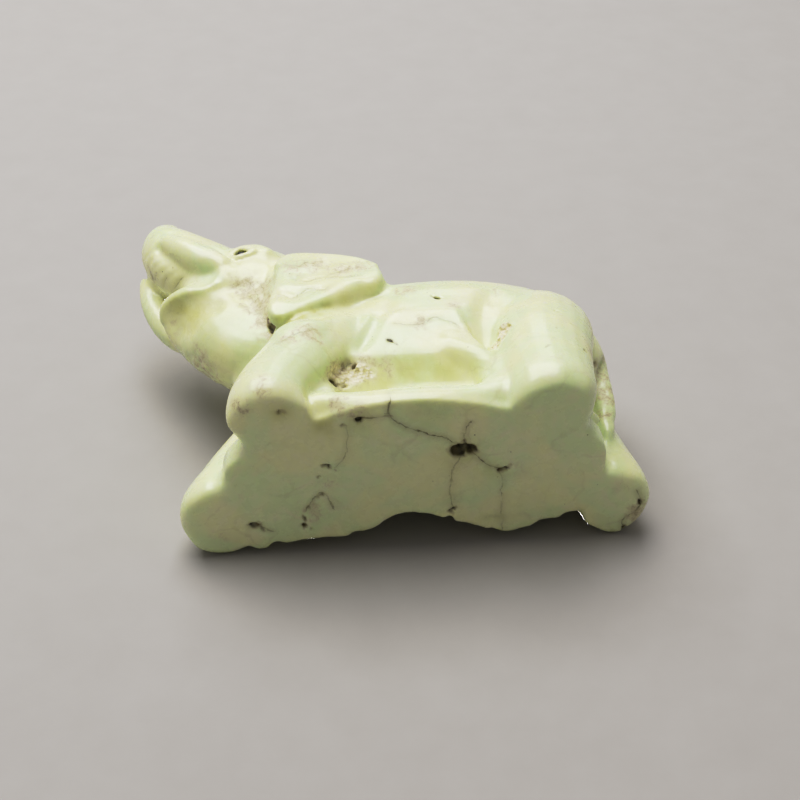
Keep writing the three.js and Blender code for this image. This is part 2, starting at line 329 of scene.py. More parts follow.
def sculpt_shoulders(clay):
    """The upper front legs, flattened where the ears lie over them."""
    for side in (-1, 1):
        clay.stroke(mirrored([(-13, -9.6, 15.8), (-10.6, -10.8, 16.2), (-8.2, -10.6, 17.2),
                              (-5.2, -10, 19.4), (-1.6, -9.8, 22.2)], side), 1.7, 1.5)
        clay.lump(mirrored([(-5.4, -6, 15.4)], side)[0], (5, 3.2, 2.6), blend=2,
                  along=(0.42, 0, 0.9), facing=(0, side, 0))
    # Stone left standing inside the left elbow, a groove down the leg's rear edge, a full forearm.
    clay.lump((-5, -4.4, 8.2), (3.6, 2.2, 2.4), blend=1.6)
    clay.lump((-8.4, -6.4, 6.2), (1.6, 1.6, 3.4), blend=1.4, along=(1, 0, 0.3))
    clay.stroke([(-5.4, -7.2, 9.6), (-6.6, -7.6, 7.6), (-8.6, -8.2, 5), (-9.8, -8.2, 2.4)], 1, 0.5)
    clay.lump((-10.4, -9.9, 12.6), (2.6, 1.2, 1.8), blend=1.4, along=(1, 0, 0.3))


def sculpt_plinth(clay):
    """The plinth's left rim is thin midway and swells into both legs; the right rim is left rough."""
    clay.rod([(-8.6, -7.4, 2.6, 1.1), (-6.4, -7.7, 2, 1.1), (-3.4, -7.8, 1.5, 1), (0.5, -8, 1.3, 0.9),
              (4.5, -7.9, 1.5, 0.9), (8.2, -7.5, 2, 1.1), (10.6, -7.1, 3, 1.6)], blend=1.4)
    clay.lump((11.4, -6.6, 5.6), (1.8, 1.6, 3), blend=2)
    clay.stroke([(-5, -8.4, 4.1), (0, -8.6, 3.7), (4, -8.4, 3.9), (8, -7.8, 4.6)], 0.8, 0.5)
    for x, y, size in ((-13.9, 10.6, 1), (-4.9, 9.9, 0.8), (0.6, 8, 1.2), (5.6, 7.8, 0.8),
                       (15.8, 9.9, 0.8), (19.4, 8.9, 0.8)):
        clay.lump((x, y + 0.2, 0.6), (size, 0.9, 1.8), blend=0.4, cut=True)
    clay.roughen((-6, 10.2, 1.2), (9, 2.2, 2.6), 3.4, 0.45, seed=11, octaves=3)
    clay.roughen((6, 8.6, 1.2), (8, 2.6, 2.6), 2.8, 0.45, seed=12, octaves=3)
    clay.roughen((18, 9.4, 1.2), (6, 2.2, 2.6), 2.4, 0.4, seed=13, octaves=3)


def sculpt_feet(clay):
    """Worn corners of the sole: the outer ones of the left feet, then smaller ones elsewhere."""
    for x, y in ((-17, -9.4), (-13, -10.6), (14, -10), (17.5, -11), (20.8, -9.4), (21.8, -5.5)):
        clay.round_over((x, y, 0.4), reach=3.2, width=1.1)
    for x, y in ((-17.4, -4), (-23, 4), (-24.5, 7.5), (-19, 2.6), (25.5, 4.2), (28.5, 6.5),
                 (28, 9.5)):
        clay.round_over((x, y, 0.3), reach=2.6, width=0.8)


def sculpt_tail(clay):
    """A groove on each side of the hanging tail, and its rough surface."""
    for side in (-1, 1):
        offset = 1.1 + side * 1.9
        clay.stroke([(22.6, offset, 25), (24.9, offset, 19), (25, offset + 0.5, 13),
                     (24.6, offset + 0.8, 7)], 0.6, 0.75)
    clay.roughen((25.4, 1, 14), (1.8, 2.2, 9), 1.4, 0.22, seed=15, octaves=3)


def sculpt_ears(clay):
    """An ear plate on each side of the head, and the folds in the left one."""
    for side in (-1, 1):
        shift = 0 if side < 0 else -RIGHT_EAR_FORWARD
        outline = [(x + shift, z) for x, z in EAR_LOBE]

        def middle(x, z, side=side):
            return side * (8.95 + 0.03 * (x + 6) - 0.11 * np.maximum(z - 27, 0))

        clay.lobe(outline, middle, half_thickness=0.95, edge=0.6, blend=0.2)
        # The rear of the ear's lower edge runs out smoothly on the shoulder.
        clay.rod(mirrored([(-6.6 + shift, -8, 20.2, 0.9), (-4 + shift, -8.2, 22.2, 1.1),
                           (-1 + shift, -8.2, 24, 1.2)], side), blend=1.6)
        # The crease in front of the ear.
        clay.stroke(mirrored([(-12.6 + shift, -9.2, 28.2), (-13.3 + shift, -8.8, 25.4),
                              (-14.3 + shift, -8.2, 21.8), (-14.6 + shift, -7.6, 18.6)], side), 0.45, 0.7)
    # The left ear's two raised folds, then the wrinkles and the dip between them and above.
    clay.stroke([(-12.6, -9.9, 19.6), (-10.8, -10.1, 18.9), (-8.6, -10.1, 20), (-5.8, -10.1, 22),
                 (-3.4, -10.1, 23.4)], 0.9, -0.3)
    clay.stroke([(-11.6, -9.9, 23.2), (-9.4, -10, 22.6), (-7, -10.1, 23.2), (-5, -10.1, 23.6)],
                0.8, -0.25)
    clay.stroke([(-11.8, -9.6, 20.9), (-10.6, -9.7, 20.3), (-9.6, -9.7, 21.2), (-8.2, -9.7, 21.9),
                 (-6.8, -9.7, 21.3)], 0.34, 0.16)
    clay.stroke([(-10.4, -9.7, 24.7), (-9, -9.7, 24), (-7.7, -9.7, 24.6), (-5.4, -9.7, 24.3),
                 (-3.2, -9.8, 24.4)], 0.36, 0.18)
    clay.stroke([(-12.4, -9.7, 26.6), (-10, -9.7, 25.6), (-7.4, -9.8, 26.4), (-4.6, -9.8, 25.8)],
                0.7, 0.14)
    clay.roughen((-6.6, -9.8, 26.6), (6, 1.2, 2.4), 2, 0.22, seed=41, octaves=3)


def sculpt_tusks(clay):
    """The left tusk with a groove along each side of it, and the groove beside the right tusk."""
    clay.stroke([(-27, -6.8, 37.9), (-26, -7.2, 35.4), (-24.6, -7.2, 33.2), (-22.8, -7.2, 31.4),
                 (-20.8, -7.6, 30.4)], 0.8, 1.1)
    clay.rod([(-19.4, -6.9, 32.4, 1.6), (-21.4, -7.1, 33.8, 1.95), (-23.6, -7.2, 36, 1.85),
              (-25.5, -7, 38.3, 1.4)], blend=0.25)
    clay.stroke([(-26.9, -7.6, 40.2), (-25, -8.2, 39.2), (-22.9, -8.6, 37), (-21, -8.6, 34.6)],
                0.5, 0.45)
    clay.stroke([(-29.4, -2.4, 40.2), (-28.6, -1.4, 37), (-27.2, -0.6, 33.6), (-26.2, 0, 30.8),
                 (-25, 0.6, 28.6)], 0.55, 0.6)


def sculpt_trunk(clay):
    """Fine grooves across the underside of the trunk."""
    left_rail = [(-27.2, -6.2, 38.4), (-26.5, -6.2, 36.4), (-25.4, -6, 34.4), (-24.2, -5.6, 32.4)]
    right_rail = [(-29.2, -3.4, 39.6), (-28.8, -3, 37), (-27.6, -2.6, 35), (-26.2, -2.4, 33.4)]
    grooves = 6
    left_points = curve_points(left_rail, 0.1)
    right_points = curve_points(right_rail, 0.1)
    for n in range(grooves):
        start = left_points[int((len(left_points) - 1) * n / (grooves - 1))]
        end = right_points[int((len(right_points) - 1) * n / (grooves - 1))]
        middle = (start + end) / 2 + np.array([-0.5, -0.2, 0])
        clay.stroke([start, middle, end], 0.2, 0.2)


def sculpt_jaw(clay):
    """A flared lower lip with a scoop beneath it, above a smooth throat."""
    clay.rod([(-27, -3.2, 31.6, 0.9), (-26.2, -5.4, 31.2, 1.2), (-24.6, -7.2, 31, 1.4),
              (-22.4, -8.2, 30.8, 1.3), (-20.4, -8.6, 31, 0.9)], blend=0.5, cut=True)
    clay.stroke([(-25.6, -3.4, 26.9), (-24.2, -4.8, 27), (-22.4, -5.8, 26.4), (-20.6, -6.4, 26)],
                1.5, 1.3)
    clay.stroke([(-24.6, -2.6, 25.8), (-23, -3.6, 25)], 1.5, 0.5)
    clay.stroke([(-22, -7, 26.4), (-19.4, -7.4, 24.2), (-18, -7, 22)], 3, 1.1)
    clay.stroke([(-26.9, -1.8, 29.2), (-26.7, -3.4, 29.3), (-25.6, -4.9, 29), (-24, -5.9, 28.6),
                 (-21.9, -6.6, 28.4), (-20, -7, 28.8)], 0.6, -0.4)
    clay.stroke([(-22.6, -6.6, 31.6), (-22.8, -6.6, 30.2)], 0.3, 0.35)
    clay.stroke([(-21.6, -6.8, 31.2), (-21.9, -6.9, 29.9)], 0.25, 0.25)
    clay.roughen((-21.5, 0.6, 21.8), (4.5, 2.2, 3.6), 0.9, 0.3, seed=21)


def sculpt_cheek(clay):
    """Wrinkled folds between the jaw, the eye and the ear."""
    folds = [
        [(-18.2, -7.6, 29.8), (-17, -7.2, 28.6), (-15.8, -7, 27.6)],
        [(-17.6, -7, 28), (-16.2, -6.8, 26.4), (-15.2, -6.8, 24.8), (-14.4, -6.8, 22.8)],
        [(-15.8, -7.2, 29.2), (-14.9, -7.2, 27), (-14.5, -7.2, 25)],
        [(-14.6, -7.6, 28), (-13.9, -7.6, 26.4), (-14.2, -7.2, 24.2)],
        [(-17, -6.4, 26), (-15.8, -6.2, 24.2)],
        [(-16.2, -6.4, 23.2), (-15, -6.4, 22.6), (-14.2, -6.4, 21)],
    ]
    for fold in folds:
        clay.stroke(fold, 0.26, 0.34)
    clay.roughen((-15.4, -7.2, 26), (2.6, 2.2, 4.2), 1, 0.14, seed=31)
    clay.roughen((-13.8, -6.4, 20.6), (1.8, 1.8, 2.2), 0.8, 0.22, seed=32)


EYE_PLACES = {
    "left_eye": ((-16.9, -7.6, 34.2), (-0.35, -0.93, 0.1)),
    "right_eye": ((-20.3, 1.9, 34.2), (-0.8, 0.6, 0.1)),
}
BEAD_RADIUS = 0.85
BEAD_DEPTH = 1.3       # how far the bead's bottom lies below the eye's place
SOCKET_RADIUS = 0.88
UPPER_LID_RADIUS = 0.40
LOWER_LID_RADIUS = 0.38
BROW_RADIUS = 0.8
# Along a lid and along the brow: how far forward, up or down, and outward from the eye's place.
LID_ARC = [(1.5, 0.05, -0.1), (0.9, 0.62, 0.05), (0, 0.86, 0.12), (-0.9, 0.66, 0.05), (-1.6, 0.1, -0.1)]
BROW_ARC = [(2, 0.8, -0.8), (0.6, 1.5, -0.7), (-1.2, 1.5, -0.8), (-2.6, 0.8, -1.2)]


def eye_axes(name):
    """The eye's place, its directions forward along the head and across it, and the way it looks."""
    place, out = EYE_PLACES[name]
    ahead = Vector((-math.cos(HEAD_YAW), -math.sin(HEAD_YAW), 0.25)).normalized()
    looking = Vector(out).normalized()
    forward = (ahead - looking * ahead.dot(looking)).normalized()
    return Vector(place), forward, looking.cross(forward), looking


def sculpt_eyes(clay):
    """Lids that close over the top and the bottom of each bead, a brow, and the bead's socket."""
    for name in EYE_PLACES:
        place, forward, across, looking = eye_axes(name)
        up = -across if across.z < 0 else across
        for arc, lift, radius, blend in ((LID_ARC, 1, UPPER_LID_RADIUS, 0.3),
                                         (LID_ARC, -1, LOWER_LID_RADIUS, 0.3),
                                         (BROW_ARC, 1, BROW_RADIUS, 1.4)):
            points = [place + forward * reach + up * lift * rise + looking * height
                      for reach, rise, height in arc]
            clay.rod([(*point, radius) for point in points], blend)
        socket = place + looking * (BEAD_RADIUS - BEAD_DEPTH)
        clay.lump(socket, (SOCKET_RADIUS, SOCKET_RADIUS, SOCKET_RADIUS), blend=0.05, cut=True)


# Pits: place, the way each one is drawn out, then half its length, half its width and its depth.
# The first list holds those in the sole, where Z is 0.
SOLE_PITS = [
    ((6.5, -2), (1, -0.2), (0.95, 0.85, 1.5)), ((7.7, -2.1), (0.8, 0.6), (0.85, 0.6, 1.2)),
    ((7.1, -2.8), (0, 1), (0.5, 0.22, 0.5)), ((11.5, 1), (0.9, -0.4), (0.55, 0.26, 0.7)),
    ((12.1, 0.5), (0.7, -0.7), (0.4, 0.16, 0.3)), ((-4.6, -6.9), (1, 0), (0.5, 0.32, 0.7)),
    ((-6.1, -6.1), (1, 0.2), (0.5, 0.26, 0.35)), ((-1.1, -7.2), (1, 0), (0.28, 0.16, 0.3)),
    ((-8.1, -0.7), (1, 0), (0.5, 0.24, 0.5)), ((-7.4, -0.4), (1, 1), (0.2, 0.14, 0.2)),
    ((-9.1, 0.8), (0, 1), (0.22, 0.16, 0.3)), ((-9, 1.6), (0, 1), (0.14, 0.12, 0.2)),
    ((-10.2, 5), (0.3, -1), (0.35, 0.18, 0.3)), ((-9.4, 3.8), (1, -0.6), (0.4, 0.18, 0.4)),
    ((-8.7, 3.2), (1, 0), (0.4, 0.2, 0.4)), ((-10.6, 6.7), (0, 1), (0.4, 0.28, 0.4)),
    ((-10.9, 7.6), (0.4, 1), (0.45, 0.3, 0.5)), ((-10, 8.2), (1, 1), (0.2, 0.14, 0.2)),
    ((-16.3, 7.2), (1, -0.1), (0.75, 0.3, 0.6)), ((-15.5, 7.7), (1, 0.8), (0.5, 0.18, 0.4)),
    ((-12.9, -8.4), (1, 0.3), (0.4, 0.3, 0.35)), ((27.5, 6.7), (0.3, 1), (0.42, 0.26, 0.6)),
    ((26, 10.6), (1, 0.4), (0.42, 0.3, 0.6)), ((6, 6.4), (1, -1), (0.5, 0.26, 0.5)),
]
PITS = [((x, y, 0), (along, across, 0), radii) for (x, y), (along, across), radii in SOLE_PITS] + [
    ((-13.4, -6, 20.3), (0, 0.1, 1), (0.75, 0.36, 1.1)),
    ((-13.7, -6.4, 21.4), (0.2, 0, 1), (0.4, 0.22, 0.6)),
    ((5.8, -9.2, 19.7), (1, 0, -0.3), (0.6, 0.22, 0.5)),
    ((0, -8.7, 12.5), (0.8, 0, -0.8), (0.5, 0.26, 0.7)),
    ((0.5, -8.6, 12), (0.3, 0, -1), (0.34, 0.2, 0.5)),
    ((19.3, -10.3, 14.2), (1, 0, -0.6), (0.26, 0.13, 0.25)),
    ((18.2, -10.9, 10), (1, 0, 0.1), (0.26, 0.12, 0.25)),
    ((16.7, -11.2, 5.8), (1, 0, 0.6), (0.5, 0.12, 0.14)),
    ((21.2, -9.6, 7.4), (0.3, 0, 1), (0.22, 0.14, 0.2)),
    ((24.3, -1.8, 15.4), (0.3, 0, 1), (0.4, 0.22, 0.4)), ((-7, -6.8, 7), (1, 0, 0.2), (0.6, 0.24, 0.7)),
    ((-5.6, -6.4, 7), (1, 0, 0.3), (0.4, 0.18, 0.4)), ((-4.3, -7, 9.6), (1, 0, 0.3), (0.5, 0.2, 0.4)),
    ((-7.2, -7.4, 9), (0.3, 0, 1), (0.4, 0.2, 0.4)), ((-28, -3, 36.8), (0, 0.4, 1), (0.26, 0.16, 0.3)),
    ((-25.3, -6.2, 34.6), (1, 0, 0), (0.16, 0.12, 0.2)),
    ((7.6, -9.4, 18.1), (1, 0, -0.4), (0.3, 0.12, 0.15)),
    ((2.6, 9.4, 20.5), (1, 0, 0.3), (0.6, 0.3, 0.5)), ((13.8, 9.6, 16.4), (0.4, 0, 1), (0.7, 0.4, 0.6)),
    ((-6.4, 10.2, 12.2), (1, 0, 0.5), (0.5, 0.25, 0.5)), ((19.8, 1.8, 27), (1, 1, 0), (0.5, 0.22, 0.5)),
    ((24.6, -0.2, 12), (0, 0.3, 1), (0.5, 0.16, 0.3)),
    ((5.2, 0.8, 30.4), (1, 0.4, 0), (0.5, 0.24, 0.4)),
]
PIT_WARP = 0.30        # how far noise pushes a pit's wall about
PIT_WARP_SIZE = 0.55   # width of one lump of that noise
CRACK_WIDTH = 0.22
FAINT_CRACK_DEPTH = 0.06
DARK_CRACK_DEPTH = 0.12           # what full darkness adds to it
CRACK_AND_CREASE_WANDER = 0.16    # how far noise moves the colour of each line, crack and crease shade alike, aside
# Cracks in the sole and body, and painted shade along the left ear's folds, the cheek's wrinkles and the
# trunk's grooves: darkness between 0 and 1, then the points that each runs through.
CRACKS_AND_CREASE_SHADE = [
    (0.85, [(-1.1, -8.7, 1.4), (-1.1, -8.6, 0.1), (-1.1, -7.2, 0), (0.4, -5.7, 0), (2.8, -4.6, 0),
            (4.7, -3.9, 0), (5.7, -3.2, 0)]),
    (0.6, [(-4.4, -7, 0), (-2.4, -7.1, 0), (-1.1, -7.2, 0)]),
    (0.85, [(7.2, -2.8, 0), (7.1, -4.6, 0), (7.6, -5.7, 0)]),
    (0.85, [(8.2, -1.3, 0), (9.1, -0.4, 0), (10, 0.3, 0), (11, 1, 0)]),
    (0.45, [(6.5, -0.8, 0), (5.9, 0.6, 0), (5.7, 3.3, 0), (5.8, 5.3, 0), (6.1, 6.4, 0)]),
    (0.4, [(11.2, 1.4, 0), (11.6, 2.7, 0), (11.5, 4.6, 0), (11.4, 7.2, 0), (11.9, 9.6, 0)]),
    (0.4, [(-5.9, -5.9, 0), (-5.7, -4.3, 0), (-6, -2.1, 0), (-7.1, -0.6, 0)]),
    (0.6, [(-10.3, 5.3, 0), (-9.9, 4.3, 0), (-9.4, 3.8, 0), (-8.8, 3.2, 0), (-8.1, 3.5, 0),
           (-7.4, 5.2, 0)]),
    (0.7, [(-16.9, 7.4, 0), (-16.2, 7.2, 0), (-15.5, 7.7, 0), (-14.4, 8.2, 0)]),
    (0.9, [(27, 5.2, 0), (27.6, 6.7, 0), (27.5, 7.3, 0), (26.7, 8.5, 0), (25.6, 9.4, 0),
           (26, 10.7, 0)]),
    # Painted shade in the left ear's folds.
    (0.42, [(-12.2, -9.8, 21.4), (-11, -9.8, 20.5), (-9.9, -9.8, 21.3), (-8.9, -9.8, 22.1),
            (-8, -9.8, 21.8), (-7.2, -9.9, 21.4), (-6.5, -9.9, 22)]),
    (0.42, [(-10.4, -9.8, 24.9), (-9, -9.8, 23.9), (-7.7, -9.8, 24.7), (-6.2, -9.9, 24.5),
            (-4.7, -9.9, 24.1), (-3.5, -9.9, 23.6)]),
    (0.40, [(-7.7, -9.8, 24.7), (-5.8, -9.9, 25.5), (-4.2, -9.9, 26)]),
    # Cracks on the belly, the front leg and the elbow.
    (0.4, [(0.7, -9, 15.4), (2.1, -9, 15), (3.8, -9, 15.2), (5.2, -9.1, 15.9), (6.4, -9.1, 15.6),
           (7.4, -9, 14.9), (8, -8.9, 14.3)]),
    (0.45, [(-12.4, -10.9, 9.9), (-11.4, -11, 10.4), (-9.6, -10.9, 11.2), (-8.8, -10.8, 11.6)]),
    (0.7, [(-8, -7.6, 8.6), (-7.3, -7.3, 9), (-6.6, -7.3, 9.8), (-5.6, -7.3, 9.9)]),
    (0.7, [(-5.6, -7, 9.4), (-4.7, -7.2, 10.1), (-3.8, -7.1, 9.9), (-2.9, -7, 10.2)]),
    (0.6, [(-7.6, -6.9, 7.2), (-6.4, -6.5, 7), (-5.4, -6.5, 7.6)]),
    # Painted shade in the cheek's wrinkles and the trunk's grooves.
    (0.5, [(-14.4, -7, 24.4), (-14.2, -7.2, 26.4), (-14.9, -7.1, 28.4)]),
    (0.45, [(-17.2, -6.8, 28.4), (-16.3, -6.6, 26.8), (-15.6, -6.6, 25)]),
    (0.5, [(-14.4, -6.6, 22.6), (-14, -6.4, 21.2), (-13.6, -6.2, 19.6)]),
    (0.35, [(-15.9, -6.6, 24), (-16.8, -6.4, 24.6), (-17.6, -6.4, 25)]),
    (0.5, [(-28.6, -4, 37.6), (-28.2, -3.3, 36.8), (-28, -2.6, 36.7)]),
    (0.4, [(-27.6, -4.3, 36), (-27.8, -3.4, 36.2)]), (0.4, [(-29, -3.2, 36.4), (-28.2, -2.6, 36)]),
    (0.35, [(-26.2, -4.6, 34.3), (-26.7, -2.8, 34.9)]), (0.35, [(-24.3, -5.4, 32.8), (-25.2, -4, 33)]),
    (0.4, [(-17.3, -6.8, 28.7), (-16.7, -6.5, 27.2), (-16, -6.7, 25.8)]),
    (0.4, [(-16.2, -7, 29), (-15.6, -6.8, 28), (-15.2, -6.9, 26.2), (-14.9, -6.9, 24.6)]),
    (0.4, [(-17.1, -6.8, 25), (-15.9, -6.7, 24), (-15.2, -6.5, 22.8), (-14.5, -6.3, 21.7)]),
    # Painted shade in the left ear's upper folds; then cracks on the right side and over the back.
    (0.35, [(-12.2, -9.9, 28.6), (-10, -9.8, 27.6), (-8.8, -9.8, 28.2), (-7, -9.8, 27)]),
    (0.35, [(22.4, 4.6, 24), (18, 7.4, 21.6), (12, 9.4, 19), (7, 9.6, 19.8)]),
    (0.3, [(-2, 7.4, 26.6), (2, 3.6, 30), (3, -2, 30.6), (5, -6.4, 27.6)]),
]
# Stains of tan matrix: place, radius and strength.
STAINS = [
    ((-16.4, -6.8, 28.2), 2, 1), ((-15, -6.8, 27), 2.4, 1), ((-14.4, -6.6, 24), 2.2, 1),
    ((-14.2, -6.2, 21.4), 1.9, 1), ((-13.6, -5.8, 19.4), 1.6, 1), ((-16.4, -6.6, 25), 1.6, 0.6),
    ((-10.1, -9.8, 27.4), 2, 0.9), ((-7.4, -9.8, 27.4), 1.9, 0.7), ((-4.5, -9.9, 26), 1.8, 0.9),
    ((-2.4, -9.9, 26.6), 1.6, 0.8), ((-25.6, -2.3, 27.7), 1.3, 0.35), ((-25.1, -1.5, 26.4), 1.3, 0.35),
    ((-11.6, -11, 10.1), 1.5, 0.8), ((-9.4, -10.9, 11.2), 1.6, 0.9), ((-8.2, -10.6, 10.2), 1.5, 0.7),
    ((-7.3, -7.2, 8.2), 1.9, 1), ((-5.5, -6.8, 8.3), 2, 1), ((-3.3, -6.8, 9.2), 2, 0.9),
    ((-0.8, -7, 9.2), 1.6, 0.6), ((-14.8, -11, 1.4), 1.6, 0.7), ((-17, -9.2, 0.6), 1.5, 0.7),
    ((-6.6, -8.2, 1), 1.3, 0.9), ((-4.8, -8, 0.2), 1.2, 0.7), ((3.6, -9, 15.2), 1.4, 0.7),
    ((7.8, -9.4, 18), 1.2, 0.5), ((2.4, -9.2, 22.2), 1.6, 0.7), ((13.3, -8.8, 21.4), 1.6, 0.5),
    ((12.9, -9.2, 12.6), 1.3, 0.6), ((27.6, 8.4, 0.4), 1.8, 1), ((24.8, -0.6, 15), 2, 0.7),
    ((24.6, 0.6, 9), 1.6, 0.6), ((22.3, -8, 8.6), 1.4, 0.5), ((-20.4, 8.6, 0), 1.4, 0.4),
    ((-10, 5.6, 0), 2.2, 0.45), ((-8, 1.6, 0), 1.8, 0.35), ((13, 1, 0), 2, 0.3),
    ((23.4, -5.4, 16), 3, 0.45), ((21, -8.6, 18), 2.6, 0.35), ((24.9, 0.2, 18.6), 2.2, 0.8),
    ((25.4, 1.2, 12.4), 2, 0.9), ((-22, -1.6, 22), 2, 0.45), ((-18.6, -7.6, 31.4), 1.2, 0.3),
    ((-27, -4.6, 38.2), 1.2, 0.3), ((-9.6, -10.4, 13.6), 1.6, 0.5), ((9.6, -9.2, 16.8), 1.2, 0.3),
    ((-12, 9.4, 26), 3.4, 0.8), ((2, 9.4, 21), 2.6, 0.6), ((14, 9.4, 15), 2.8, 0.8),
    ((-9, 10, 10), 2.6, 0.7), ((6, 0, 30.4), 3, 0.5), ((20, 3, 25), 2.6, 0.5),
    ((-21, 0.6, 21.6), 2.6, 0.8),
]
# Painted shade, in olive: spots where shade falls under the ears, in the jaw's scoop, under the belly and
# around pits in the sole. Each has a place, radius and strength.
SHADE_SPOTS = [
    ((-12.4, -8.8, 17), 1.1, 0.8), ((-11.2, -9, 16.9), 1.2, 1), ((-9.9, -9.1, 17.2), 1.2, 1),
    ((-8.5, -9.1, 18), 1.2, 1), ((-7, -9, 19.2), 1.1, 0.8), ((-5.2, -8.8, 20.8), 1, 0.5),
    ((-24.4, -4.3, 27.4), 2.2, 0.9), ((-23, -4.6, 26.2), 2.6, 0.8), ((-22.2, -5.8, 25.4), 2.8, 0.6),
    ((-20.4, -6.6, 23.8), 2.6, 0.35), ((-1.6, -6.9, 8.6), 2.4, 0.5),
    ((-6.5, -6.9, 7.9), 1.8, 0.8), ((2, -7.2, 8.6), 2.4, 0.6), ((5.6, -7.2, 8.6), 2.4, 0.6),
    ((10.6, -7.4, 9.4), 1.6, 0.5),
    ((-12.9, -8.4, 0), 1.1, 0.8), ((-8.2, -6.3, 0), 1.3, 0.8), ((-4.6, -6.9, 0), 1.6, 0.5),
    ((3, -7.6, 0), 2.4, 0.3), ((10.5, 1, 0), 1.4, 0.4), ((7, -1.4, 0), 2.2, 0.5),
]
# Sugary patches of open grain: place and radii.
GRAINS = [
    ((12.9, -9.1, 12.6), (1.1, 1.4, 1.3)), ((12.2, -8.4, 11.6), (1.1, 1.4, 1.1)),
    ((11.5, -7.6, 11.6), (0.9, 1.4, 1.1)), ((-6.9, -7, 8.1), (1.5, 1.6, 1.3)),
    ((-4.5, -6.8, 8.6), (2.1, 1.4, 1.4)), ((13.6, 9.2, 13.4), (1.4, 1.6, 2)),
    ((-6, 8.6, 9), (1.8, 1.6, 1.8)),
]


def pit_reach(points, place, along, radii):
    """How far points lie from a pit's middle, where 1 is its uneven wall."""
    facing = (0, 0, 1) if place[2] < 0.1 else (0, 1, 0)
    offset = points - np.array(place)
    for axis in range(3):
        offset[:, axis] += PIT_WARP * smooth_noise(points, PIT_WARP_SIZE, 90 + axis)
    axes = turned_axes(along, facing)
    local = [offset @ np.array(axis) / radius for axis, radius in zip(axes, radii)]
    return np.sqrt(sum(v * v for v in local))


def sculpt_wear(clay):
    """Pits, cracks and patches of open grain."""
    for darkness, points in CRACKS_AND_CREASE_SHADE:
        clay.stroke(points, CRACK_WIDTH, FAINT_CRACK_DEPTH + DARK_CRACK_DEPTH * darkness)
    for n, (place, radii) in enumerate(GRAINS):
        clay.roughen(place, radii, 0.85, 0.42, seed=50 + n)
    # A scoop beside the patch on the left thigh.
    clay.lump((10.9, -9.2, 13.6), (0.9, 0.9, 1.6), blend=0.6, cut=True)
    for place, along, radii in PITS:
        reach = max(radii) + 2 * PIT_WARP
        slices, axes = clay.window(np.array(place) - reach, np.array(place) + reach)
        shape = clay.values[slices].shape
        wall = (pit_reach(cell_points(axes, shape), place, along, radii) - 1) * min(radii)
        clay.join(slices, wall.reshape(shape), blend=0.08, cut=True)


def sculpt_stone(clay):
    """Everything done to the clay, from the softened CAD solid to the last pit."""
    clay.soften(fillet=0.55, polish=0.22)
    sculpt_belly(clay)
    sculpt_shoulders(clay)
    sculpt_plinth(clay)
    sculpt_feet(clay)
    sculpt_tail(clay)
    sculpt_ears(clay)
    sculpt_jaw(clay)
    sculpt_trunk(clay)
    sculpt_tusks(clay)
    sculpt_cheek(clay)
    clay.values = blurred(clay.values, LAST_POLISH)
    sculpt_eyes(clay)
    sculpt_wear(clay)


# ---- Marks that the stone's material reads ----

MARK_MARGIN = 3        # marks are worked out this near to a crack or pit
MARK_FAR = 5           # stands for every distance beyond that


def spots(points, places):
    """How strongly points lie in soft round spots (place, radius, strength)."""
    total = np.zeros(len(points))
    for place, radius, strength in places:
        near = ((points - np.array(place)) ** 2).sum(1) / radius ** 2
        np.maximum(total, strength * np.exp(-near), out=total)
    return total


def mark_cracks_and_crease_shade(points, normals):
    """For each point: signed distance across the nearest line of the list, plain distance, and its
    darkness; the lines are cracks and painted crease shade.
    """
    nearest = np.full(len(points), 1e9)
    signed = np.zeros(len(points))
    tone = np.zeros(len(points))
    wander = np.stack([fractal(points, 1.3, seed, 2) for seed in (61, 62, 63)], 1) * CRACK_AND_CREASE_WANDER
    for darkness, control in CRACKS_AND_CREASE_SHADE:
        path = curve_points(control, step=0.25)
        low, high = path.min(0) - MARK_MARGIN, path.max(0) + MARK_MARGIN
        close = np.flatnonzero(((points > low) & (points < high)).all(1))
        moved = points[close] + wander[close]
        for a, b in zip(path, path[1:]):
            run = b - a
            length = np.linalg.norm(run) + 1e-9
            t = np.clip(((moved - a) @ run) / length ** 2, 0, 1)
            gap = moved - a - t[:, None] * run
            distance = np.linalg.norm(gap, axis=1)
            side = np.sign((gap * np.cross(run / length, normals[close])).sum(1))
            better = distance < nearest[close]
            chosen = close[better]
            nearest[chosen] = distance[better]
            signed[chosen] = (distance * side)[better]
            tone[chosen] = darkness
    return signed, nearest, tone


def vertex_values(mesh, name):
    """A mesh's vertex places or normals as an array (N, 3)."""
    values = np.empty(len(mesh.vertices) * 3, np.float32)
    mesh.vertices.foreach_get(name, values)
    return values.reshape(-1, 3)


